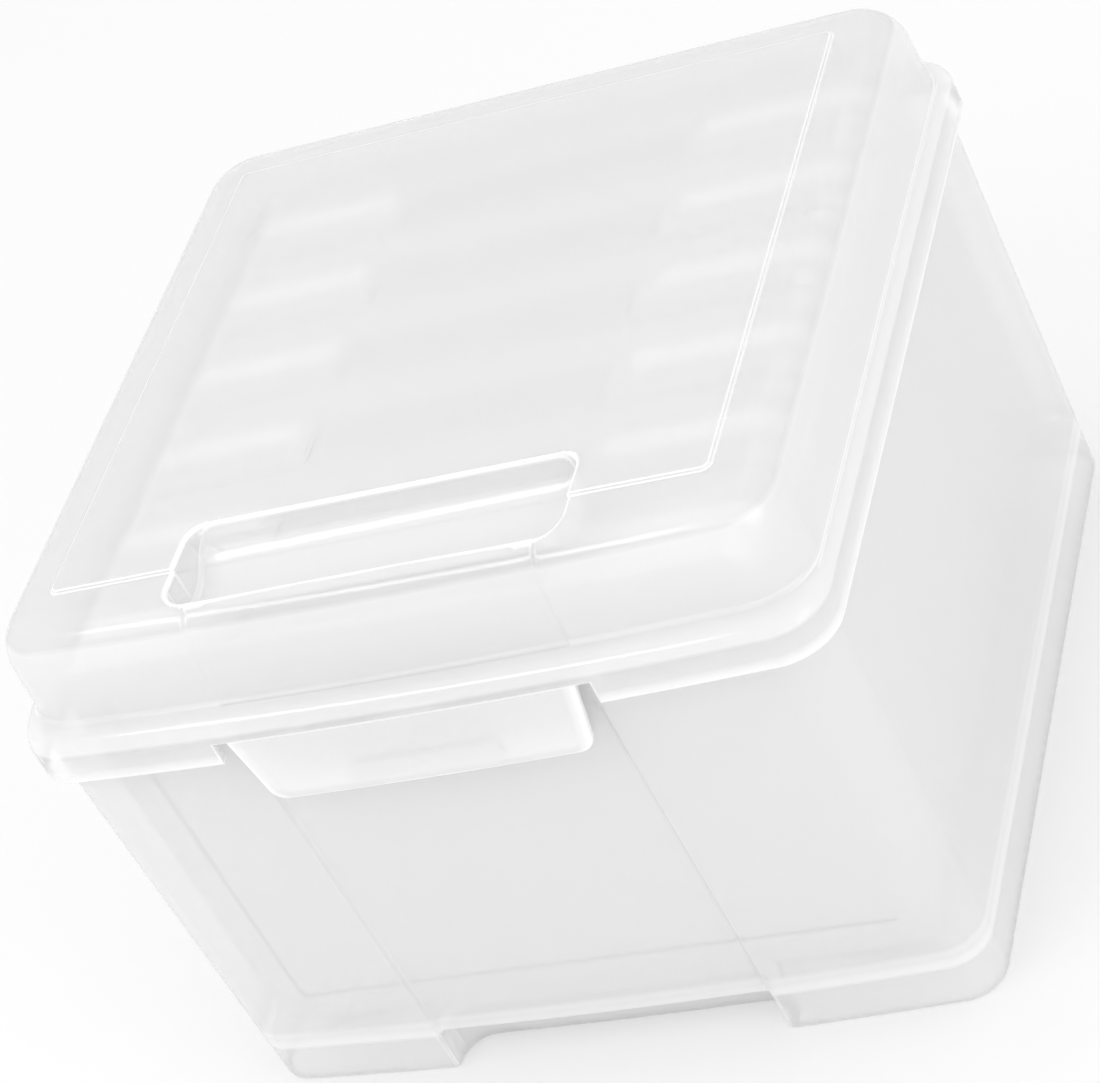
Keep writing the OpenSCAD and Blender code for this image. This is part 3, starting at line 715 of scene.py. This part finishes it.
def panel_rise(x, y, wall):
    outside = box_distance(x, y, (TOP_HALF[0] - wall, TOP_HALF[1] - wall), 0, TOP_R)
    return STEP_H * smooth((PANEL_SOFT - outside) / (2 * PANEL_SOFT))


def quarter_drop(r, left):
    """How far a rounding of radius r has dropped where its run has this much left."""
    return sqrt(max(r * r - max(left, 0) ** 2, 0))


def top_height(x, y, wall):
    top = edge_height(x, y, wall) + panel_rise(x, y, wall)
    s = box_distance(x, y, (SCOOP_HALF + wall, SCOOP_HALF_Y + wall), SCOOP_Y, SCOOP_PLAN_R + wall)
    if s >= LIP:
        return top
    r = SCOOP_R + wall
    trough = SCOOP_AXIS[1] - sqrt(max(r * r - (y - SCOOP_AXIS[0]) ** 2, 0))
    deep = max(top - trough, 0)
    lip, foot = min(LIP, MOST_ROUND * deep), min(FOOT, MOST_ROUND * deep)
    if s >= 0:
        return top - (lip - quarter_drop(lip, lip - s))
    upper, lower = top - lip, min(top, trough) + foot
    if s >= -LEAN:
        return upper + (lower - upper) * (-s / LEAN)
    return lower - quarter_drop(foot, foot - (-LEAN - s))


print("scoop, middle:", round(top_height(0, SCOOP_AXIS[0], 0), 2), "panel:", round(top_height(0, 0, 0), 2))

# %% [markdown]
# Places on the top, joined into faces
#
# The places are chosen where the height bends: rings along each edge, and lines along the trough. Delaunay
# triangulation joins them, so flat areas get few faces and the roundings get many. A grid would do as well,
# but it would need far more faces to follow the same edges.

# %% Rings and lines on the top
PANEL_STEPS = (0.6, 0.3, 0.15, 0, -0.15, -0.3, -0.6)  # out from the panel's outline
LIP_STEPS = [LIP + 0.3, LIP, 0.75, 0.5, 0.3, 0.15, 0.05, 0]
FOOT_STEPS = [0, 0.06, 0.18, 0.36, 0.6, 0.95, FOOT, FOOT + 0.3]  # in from the foot of the scoop's wall
SCOOP_STEPS = LIP_STEPS + [-LEAN - v for v in FOOT_STEPS]
TROUGH_ANGLES = range(-54, 75, 6)
NEAR_CORNER = 0.2  # a cut this close to a corner is left out


def rounded_box(half, middle_y, r, cuts=(), steps=8):
    """Points round a rounded rectangle, its sides cut at the given values of Y."""
    cx, cy = half[0] - r, half[1] - r
    right = [y for y in sorted(cuts) if middle_y - cy + NEAR_CORNER < y < middle_y + cy - NEAR_CORNER]
    along = [cx * i / 4 for i in range(-3, 4)]
    quarter = pi / 2

    def corner(sx, sy, start):
        return [(sx * cx + r * cos(start + quarter * i / steps),
                 middle_y + sy * cy + r * sin(start + quarter * i / steps)) for i in range(steps + 1)]

    points = [(half[0], y) for y in right] + corner(1, 1, 0)
    points += [(-x, middle_y + half[1]) for x in along] + corner(-1, 1, quarter)
    points += [(-half[0], y) for y in reversed(right)] + corner(-1, -1, 2 * quarter)
    return points + [(x, middle_y - half[1]) for x in along] + corner(1, -1, 3 * quarter)


def edge_loops(wall, first_ring, first_angle):
    """The ring that the walls end with, more of them over the rounding, and one on the flat."""
    r = EDGE_R - wall
    rings = [first_ring]
    rings += [dome_ring(EDGE_Z + r * sin(a), wall + r * (1 - cos(a)), wall)
              for a in rounding(8, first_angle, 90)[1:]]
    rings.append(dome_ring(BORDER_Z, wall + r + 0.6, wall))
    return [[(x, y) for x, y, z in each] for each in rings]


def panel_loops(wall):
    return [rounded_box([v - wall + out for v in TOP_HALF], 0, TOP_R + out) for out in PANEL_STEPS]


def scoop_loops(wall):
    """Loops round the scoop's walls, and lines along its trough."""
    cuts = [SCOOP_AXIS[0] + (SCOOP_R + wall) * sin(radians(a)) for a in TROUGH_ANGLES]
    half, r = (SCOOP_HALF + wall, SCOOP_HALF_Y + wall), SCOOP_PLAN_R
    loops = [rounded_box([v + out for v in half], SCOOP_Y, r + wall + out, cuts) for out in SCOOP_STEPS]
    inmost = half[0] + SCOOP_STEPS[-1]
    low, high = SCOOP_Y - half[1] - SCOOP_STEPS[-1], SCOOP_Y + half[1] + SCOOP_STEPS[-1]
    lines = [[(-inmost, y), (inmost, y)] for y in cuts if low + r < y < high - r]
    lines += [[(-inmost + r, y), (inmost - r, y)] for y in cuts
              if low < y <= low + r or high > y >= high - r]
    return loops, lines


print("loops round the scoop:", len(SCOOP_STEPS), "round the panel:", len(PANEL_STEPS))


# %% Faces of the top
SAME_PLACE, ON_EDGE = 1e-4, 0.002  # places this close are one; a face this far out counts as inside


def join(loops, lines):
    """Delaunay faces between the places, keeping every loop and line as edges."""
    places, edges = [], []
    for k, points in enumerate(loops + lines):
        start, n = len(places), len(points)
        places += [Vector(p) for p in points]
        edges += [(start + i, start + (i + 1) % n) for i in range(n if k < len(loops) else n - 1)]
    places, _, faces, *_ = geometry.delaunay_2d_cdt(places, edges, [], 0, SAME_PLACE)
    return places, faces


def top_faces(wall, first_ring, first_angle):
    """The top inside the first ring, as points with their heights and triangles."""
    round_scoop, along_trough = scoop_loops(wall)
    loops = edge_loops(wall, first_ring, first_angle) + panel_loops(wall) + round_scoop
    places, faces = join(loops, along_trough)
    r, begin = EDGE_R - wall, radians(first_angle)
    kept = []
    for face in faces:
        middle = sum((places[i] for i in face), Vector((0, 0))) / len(face)
        inside = edge_distance(middle.x, middle.y, EDGE_Z + r * sin(begin), wall)
        if inside > r * (1 - cos(begin)) - ON_EDGE:
            kept.append(tuple(face))
    return [(p.x, p.y, top_height(p.x, p.y, wall)) for p in places], kept


for wall, rings, first_angle in ((0.0, outer_rings, OUTER_ANGLE), (WALL, inner_rings, INNER_ANGLE)):
    points, faces = top_faces(wall, rings[-1], first_angle)
    lid.add(points, faces, inner=int(wall > 0))
    print("top, wall", wall, "points:", len(points), "faces:", len(faces))

# %% [markdown]
# Knuckles
#
# Each of the lid's two knuckles hangs from the back of the flange on an arm and turns on a pin of the tub. A
# heel on it meets the back wall when the lid is fully open.

# %% Knuckles of the lid
OPEN = radians(110)
KNUCKLE_SOFT, BORE_SOFT = 0.4, 0.2
HEEL_FROM, HEEL_HALF, HEEL_GAP = 3.2, 0.8, 0.12
arm_y = FLANGE[1] - WALL
arm = [(arm_y + 0.6, 114.6), (arm_y + 0.6, HINGE_Z + 2.6), (arm_y + 2.4, HINGE_Z + 3.2),
       (arm_y + 4.2, HINGE_Z + 3.0), (arm_y + 4.2, 111.2), (arm_y + 1.6, 115.7)]
heel_reach = HINGE_Y - wall_y - HEEL_GAP


def knuckle_rings(a, b):
    """A tube from a to b along X."""
    bore, soft = PIN_R + PIN_GAP, KNUCKLE_SOFT
    half = [(bore, BORE_SOFT), (bore + BORE_SOFT, 0), (KNUCKLE_R - soft, 0),
            (KNUCKLE_R - MID_STEP * soft, MID_STEP * soft), (KNUCKLE_R, soft)]
    sizes = [(r, a + u) for r, u in half] + [(r, b - u) for r, u in reversed(half)]
    return [[(x, y, z) for y, z in circle(HINGE_Y, HINGE_Z, r, 0, 360, 48)] for r, x in sizes]


turn = pi + OPEN
along, across = (cos(turn), sin(turn)), (-sin(turn), cos(turn))
heel = [(HINGE_Y + along[0] * u + across[0] * v, HINGE_Z + along[1] * u + across[1] * v)
        for u, v in ((HEEL_FROM, -HEEL_HALF), (heel_reach, -HEEL_HALF), (heel_reach, HEEL_HALF),
                     (HEEL_FROM, HEEL_HALF))]
for side in (-1, 1):
    a, b = side * HINGE_X - KNUCKLE_LEN / 2, side * HINGE_X + KNUCKLE_LEN / 2
    rings = knuckle_rings(a, b)
    lid.loft(rings + rings[:1])
    bar(lid, arm, a + 0.1, b - 0.1, 0.3)
    bar(lid, heel, a, b, 0.2)
print("the heel reaches", round(heel_reach, 2), "mm from the pin's axis")

# %% [markdown]
# The latch tongue
#
# The tongue carries the flange's wall on downward, narrows a little and has rounded lower corners. The real
# one is moulded with the lid and bends at its root, so the piece starts right under the lid's window and its
# upper end is blended with the lid.

# %% Outline of the tongue
TONGUE_TAPER, TONGUE_LOW, TONGUE_R = 2.6, 98.5, 4.0
TONGUE_GAP, ROOT_GAP = 0.02, 0.03  # clearance to the lid's window, beside and above
COLUMNS, SOFT = 28, 0.35


def flange_front(x):
    """Y of the flange's outer face at x."""
    big, front = bow(FLANGE[:2], FLANGE_R)
    return big - front - sqrt(big * big - x * x)


tongue_half = PANEL_HALF - TONGUE_GAP
corner_z, corner_x = TONGUE_LOW + TONGUE_R, PANEL_HALF - TONGUE_TAPER - TONGUE_R
levels = [(ROOT_Z - ROOT_GAP, tongue_half)]
levels += [(ROOT_Z + (corner_z - ROOT_Z) * t, tongue_half + (corner_x + TONGUE_R - tongue_half) * t)
           for t in (0.03, 0.08, 0.16, 0.3, 0.5, 0.75)]
levels += [(corner_z - TONGUE_R * sin(a), corner_x + TONGUE_R * cos(a)) for a in rounding(10)]


def across_tongue(from_x, z):
    """Points from one side to the other, between the corners."""
    return [(from_x * (1 - 2 * i / COLUMNS), z) for i in range(1, COLUMNS)]


def tongue_loop(inward, depth):
    """The tongue's outline seen from the front, taken in, at a depth behind the flange's face."""
    right = []
    for z, half in levels:
        a = asin(min(1, (corner_z - z) / TONGUE_R)) if z < corner_z else 0
        right.append((half - inward * cos(a), z + inward * sin(a)))
    left = [(-x, z) for x, z in reversed(right)]
    loop = right + across_tongue(*right[-1]) + left + across_tongue(*left[-1])
    return [(x, flange_front(x) + depth, z) for x, z in loop]


print("tongue levels:", len(levels))

# %% [markdown]
# The tongue's faces and its rib
#
# Soft edges run round the tongue, before and behind, and rows of faces close it between them. The rib is a
# wedge: its flat top catches under the nose, and its slope lets the lid snap shut.

# %% Tongue and rib
RIB_GAP, RIB_TIP, RIB_H = 0.2, 1.1, 4.5  # under the nose; height of the rib at its tip and at the tongue
RIB_TIP_Y, RIB_ROOT_Y = NOSE_Y + 1.2, -100.666
RIB_HALF, RIB_FLARE = 17.4, 0.385

tongue = Shell()
loops = [tongue_loop(SOFT * (1 - sin(a)), SOFT * (1 - cos(a))) for a in rounding(4)]
loops += [tongue_loop(SOFT * (1 - cos(a)), WALL - SOFT * (1 - sin(a))) for a in rounding(4)]
tongue.loft(loops)


def tongue_face(loop, inner=0):
    """Rows across the tongue, from the right side of its outline to the left."""
    rows = []
    for right_x, right_y, z in loop[:len(levels)]:
        depth = right_y - flange_front(right_x)
        xs = [right_x * (1 - 2 * i / COLUMNS) for i in range(COLUMNS + 1)]
        rows.append([(x, flange_front(x) + depth, z) for x in xs])
    tongue.loft(rows, closed=False, inner=inner)


tongue_face(loops[0])
tongue_face(loops[-1], inner=1)
# Painted light: the whole tongue is painted a little whiter, against the shade of the slits and the gap
# behind it.
tongue.bands = [(TONGUE_LOW, ROOT_Z, 0.5)]
rib_top = CATCH_Z - RIB_GAP
rib = [(RIB_TIP_Y, rib_top), (RIB_TIP_Y, rib_top - RIB_TIP), (RIB_ROOT_Y, rib_top - RIB_H),
       (RIB_ROOT_Y, rib_top)]
for side in (-1, 1):
    rings = [[(side * (RIB_HALF + (rib_top - z) * RIB_FLARE) * k, y, z) for y, z in rib] for k in (0, 1)]
    tongue.loft(rings)
    tongue.cap(rings[1], (side * (RIB_HALF + 0.2), -99.9, rib_top - 1.8))
print("the rib stands", round(RIB_TIP_Y - RIB_ROOT_Y, 2), "mm behind the tongue")

# %% [markdown]
# Standing in for the solids
#
# Each smooth piece takes the place of its solid and rides on the same body. The tongue's upper end is shared
# between the lid and the latch, so that it bends there when it is pulled.

# %% The three smooth pieces
BEND_FROM, BEND_TO = 0.1, -3.0  # above and below the root: where the tongue bends


def stand_in(shell, name, node, body):
    piece = shell.to_piece(name, shell_plastic)
    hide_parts(node)
    if body:
        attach(piece, body)
    return piece


stand_in(tub, "tub_moulding", "base_tub", "base")
stand_in(lid, "lid_moulding", "lid", "lid")
tongue_piece = stand_in(tongue, "tongue_moulding", "latch_tongue", None)
root_y = (flange_front(0) + WALL / 2 + SHIFT_Y) * MM
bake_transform(tongue_piece, "lid", "latch", start=(0, root_y, (ROOT_Z + BEND_FROM) * MM),
         end=(0, root_y, (ROOT_Z + BEND_TO) * MM))

# %% [markdown]
# The inner cases
#
# The six cases are one moulding made six times. The solids have their true shape with sharp edges, so a copy
# of the first case's solids gets its edges broken, as any moulding has them. The flat triangles are joined
# first, because a bevel needs whole faces to run along.

# %% Breaking the edges of a case
BROKEN_EDGE, SHARP_FROM = 0.35, radians(35)
WIDE_FACE, EDGE_LINE = 60.0, 0.3  # faces larger than this, in square mm, get a margin this wide
CASE_MERGE = 0.003

tray_box, cover_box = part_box("case_1_tray"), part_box("case_1_cover")
case_low = [min(a, b) for a, b in zip(tray_box[0], cover_box[0])]
case_high = [max(a, b) for a, b in zip(tray_box[1], cover_box[1])]


def break_edges(shape):
    """Joins flat triangles, bevels the sharp edges, and gives the wide faces a margin."""
    bmesh.ops.remove_doubles(shape, verts=shape.verts, dist=CASE_MERGE * MM)
    bmesh.ops.dissolve_limit(shape, angle_limit=radians(1), verts=shape.verts, edges=shape.edges)
    sharp = [edge for edge in shape.edges if edge.is_manifold and edge.calc_face_angle(0) > SHARP_FROM]
    bmesh.ops.bevel(shape, geom=sharp, offset=BROKEN_EDGE * MM, segments=2, profile=0.5, affect="EDGES",
                    clamp_overlap=True)
    wide = [face for face in shape.faces if face.calc_area() > WIDE_FACE * MM * MM]
    bmesh.ops.inset_individual(shape, faces=wide, thickness=EDGE_LINE * MM, use_even_offset=True)


def mark_inner_skin(shape):
    """1 on faces that look into the hollow of the case, 0 on its outside."""
    layer = shape.verts.layers.float.new("inner_skin")
    shape.normal_update()
    size = [high - low for low, high in zip(case_low, case_high)]
    for vert in shape.verts:
        outward = sum(vert.normal[i] * (2 * vert.co[i] - case_low[i] - case_high[i]) / size[i]
                      for i in range(3))
        vert[layer] = 1.0 if outward < -0.3 else 0.0


print("a case is", [round((high - low) / MM, 1) for low, high in zip(case_low, case_high)], "mm")

# %% [markdown]
# Where the cover laps over the tray
#
# At both ends of its top a case has the cover's skirt over the tray's wall. Two walls hide more, so the
# photograph shows a short pale band at each end of every case; here that band is painted light, full on the
# lap. The mesh is cut along the lap, so that the painted edge light can stop there.

# %% Marking the lap
LAP_FROM, LAP_STEP = 42.0, 0.5  # the painted lap band goes from here to the ends, and fades over this step
LAP_TOP = 3.0  # only this far down from the top
LOW_EDGES = 0.3  # painted edge light below the top is this share of that on it

lap = (tray_box[0][1], cover_box[1][1])  # the cover's skirt goes over the tray between these, along Y
print("the lap is", round((lap[1] - lap[0]) / MM, 2), "mm deep")


def cut_along_lap(shape):
    ends = (-LAP_FROM - LAP_STEP, -LAP_FROM, LAP_FROM, LAP_FROM + LAP_STEP)
    cuts = [((x * MM, 0, 0), (1, 0, 0)) for x in ends]
    step = LAP_STEP * MM
    cuts += [((0, y, 0), (0, 1, 0)) for y in (lap[0] - step, lap[0], lap[1], lap[1] + step)]
    for place, across in cuts:
        bmesh.ops.bisect_plane(shape, geom=shape.verts[:] + shape.edges[:] + shape.faces[:],
                               plane_co=place, plane_no=across)


# Paints light: full painted light on the lap at both ends of the top, and less painted edge light below the
# top.
def paint_lap_light(shape):
    light = shape.verts.layers.float["painted_light_amount"]
    for vert in shape.verts:
        if vert.co.z < case_high[2] - LAP_TOP * MM:
            vert[light] *= LOW_EDGES
        elif lap[0] - 0.1 * MM < vert.co.y < lap[1] + 0.1 * MM and abs(vert.co.x) > (LAP_FROM + 0.2) * MM:
            vert[light] = 1.0


# %% [markdown]
# Six cases in a row
#
# Every piece starts as a copy of the first case's solid. It is moved back along the row in its mesh, so that
# the object itself stays at the origin.

# %% The row of cases
CASE_COUNT, CASE_PITCH = 6, 28.9
CASE_PARTS = {"tray": ("inner_case", case_plastic), "cover": ("inner_case", case_plastic),
              "latch": ("inner_latch", catch_plastic)}


def soft_copy(node, name, material, back_mm):
    """A copy of a case's solid with broken edges, set back along the row."""
    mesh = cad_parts[node].data.copy()
    mesh.name = name
    shape = bmesh.new()
    shape.from_mesh(mesh)
    break_edges(shape)
    cut_along_lap(shape)
    paint_light_on_edges(shape)
    paint_lap_light(shape)
    mark_inner_skin(shape)
    bmesh.ops.translate(shape, verts=shape.verts, vec=(0, back_mm * MM, 0))
    open_edges = count_open(shape)
    shape.to_mesh(mesh)
    shape.free()
    return smooth_piece(name, mesh, material), open_edges


for k in range(1, CASE_COUNT + 1):
    for part, (body, material) in CASE_PARTS.items():
        node = f"case_{k}_{part}"
        piece, open_edges = soft_copy(f"case_1_{part}", f"photo_{node}", material, CASE_PITCH * (k - 1))
        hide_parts(node)
        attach(piece, f"{body}_{k}")
        if k == 1:
            print(node, "faces:", len(piece.data.polygons), "open edges:", open_edges)

# %% [markdown]
# The sheet
#
# The box stands on a white sheet. To the camera the sheet is partly lit paper and partly plain white, so the
# ground is white and the box still stands on its own soft shadow. What shines or is seen through shows the
# same white. More light on the paper would make it white too, but it would bleach the box.

# %% The sheet under the box
SHEET_GLOW = 0.4  # share of plain white in the sheet, where the camera sees it
SHEET_SIZE, SHEET_COLOUR = 6.0, "FAFAFA"
WHITE = (1, 1, 1, 1)


def seen_by(tree, *rays):
    """1 for a ray of one of these kinds."""
    path = add_node(tree, "ShaderNodeLightPath")
    seen = path.outputs[rays[0]]
    for ray in rays[1:]:
        seen = add_node(tree, "ShaderNodeMath", {"operation": "MAXIMUM"},
                        links={0: seen, 1: path.outputs[ray]}).outputs[0]
    return seen


paper, tree = new_material("white_paper")
paint = add_node(tree, "ShaderNodeBsdfDiffuse", values={"Color": linear(SHEET_COLOUR)})
glow = add_node(tree, "ShaderNodeEmission", values={"Color": WHITE, "Strength": 1.0})
seen = seen_by(tree, "Is Camera Ray", "Is Glossy Ray", "Is Transmission Ray")
share = add_node(tree, "ShaderNodeMath", {"operation": "MULTIPLY"}, links={0: seen}, values={1: SHEET_GLOW})
mix = add_node(tree, "ShaderNodeMixShader",
               links={0: share.outputs[0], 1: paint.outputs["BSDF"], 2: glow.outputs["Emission"]})
add_node(tree, "ShaderNodeOutputMaterial", links={"Surface": mix.outputs["Shader"]})

s = SHEET_SIZE / 2
sheet_mesh = bpy.data.meshes.new("floor")
sheet_mesh.from_pydata([(-s, -s, 0), (s, -s, 0), (s, s, 0), (-s, s, 0)], [], [(0, 1, 2, 3)])
sheet_mesh.materials.append(paper)
sheet = bpy.data.objects.new("floor", sheet_mesh)
bpy.context.scene.collection.objects.link(sheet)
print("sheet", SHEET_SIZE, "m wide")

# %% [markdown]
# The room
#
# All round is an even white room, a little darker as a light than the plain white that the camera sees. It
# gives most of the light, so the shadows stay soft.

# %% The room
ROOM_LIGHT = 0.93

world = bpy.data.worlds.new("studio")
bpy.context.scene.world = world
world.use_nodes = True
world.node_tree.nodes.clear()
seen = seen_by(world.node_tree, "Is Camera Ray", "Is Transmission Ray")
room = add_node(world.node_tree, "ShaderNodeBackground", values={"Color": WHITE, "Strength": ROOM_LIGHT})
white = add_node(world.node_tree, "ShaderNodeBackground", values={"Color": WHITE, "Strength": 1.0})
mix = add_node(world.node_tree, "ShaderNodeMixShader",
               links={0: seen, 1: room.outputs[0], 2: white.outputs[0]})
add_node(world.node_tree, "ShaderNodeOutputWorld", links={"Surface": mix.outputs[0]})
print("the room gives", ROOM_LIGHT)

# %% [markdown]
# The lamps
#
# Two large soft boxes give the walls their slightly different greys: one over the back and one to the right.
# A narrow strip over the front is there for its reflection, the line of light along the dome's front edge.

# %% The lamps
def soft_box(name, place_mm, aim_mm, size_mm, watts):
    light = bpy.data.lights.new(name, "AREA")
    light.shape = "RECTANGLE"
    light.size, light.size_y = (v * MM for v in size_mm)
    light.energy = watts
    lamp = bpy.data.objects.new(name, light)
    bpy.context.scene.collection.objects.link(lamp)
    place, aim = Vector(place_mm) * MM, Vector(aim_mm) * MM
    turn = (aim - place).to_track_quat("-Z", "Y")
    lamp.matrix_world = Matrix.Translation(place) @ turn.to_matrix().to_4x4()
    return light.energy


watts = soft_box("top_box", (-100, 200, 900), (0, 0, 100), (700, 500), 0.3)
watts += soft_box("side_box", (850, -500, 500), (0, 0, 80), (500, 500), 1.2)
watts += soft_box("edge_strip", (-320, -428, 665), (0, -92, 143), (420, 80), 0.65)
print("the lamps give", round(watts, 2), "watts together")

# %% [markdown]
# Finish
#
# Colours are shown as they are, without a film look.

# %% Finish
bpy.context.scene.view_settings.view_transform = "Standard"
